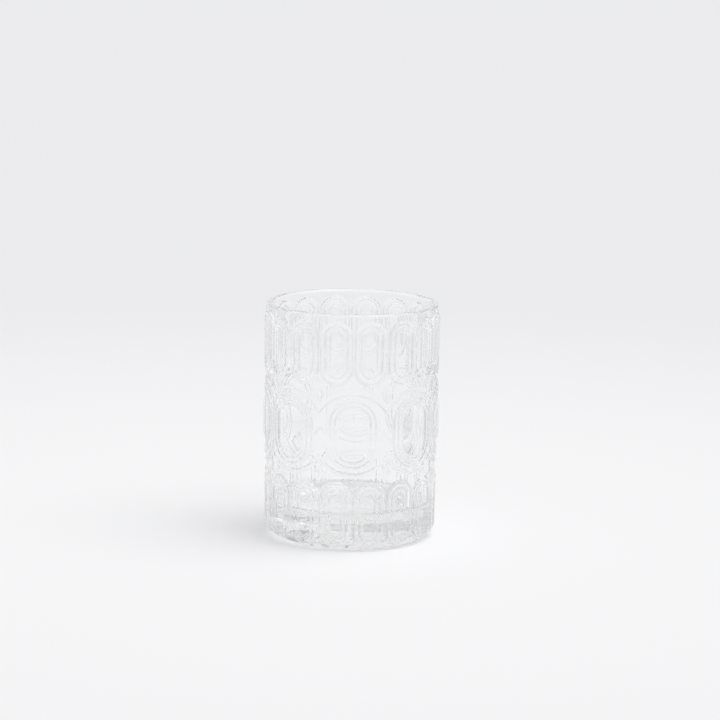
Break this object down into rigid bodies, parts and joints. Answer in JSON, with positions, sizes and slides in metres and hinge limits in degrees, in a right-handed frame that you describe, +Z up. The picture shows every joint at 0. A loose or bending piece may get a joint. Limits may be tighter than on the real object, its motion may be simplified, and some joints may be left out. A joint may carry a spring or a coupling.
{
  "type": "glass tumbler",
  "caption": "Clear pressed-glass tumbler: a nearly straight drinking glass with a heavy round-heeled bottom and a wall embossed with rows of long pills and nested ovals.",
  "frame": {"origin": "on the axis of the glass, at the level of the surface it stands on", "axes": "+Z up along the axis of the glass, -Y towards the oval that faces the camera in the picture"},
  "size_m": [0.08, 0.08, 0.107],
  "materials": {
    "glass": "clear and glossy, pressed and fire-polished"
  },
  "bodies": {
    "root": {"base": "glass", "side_wall": "glass", "rim": "glass"}
  },
  "joints": []
}
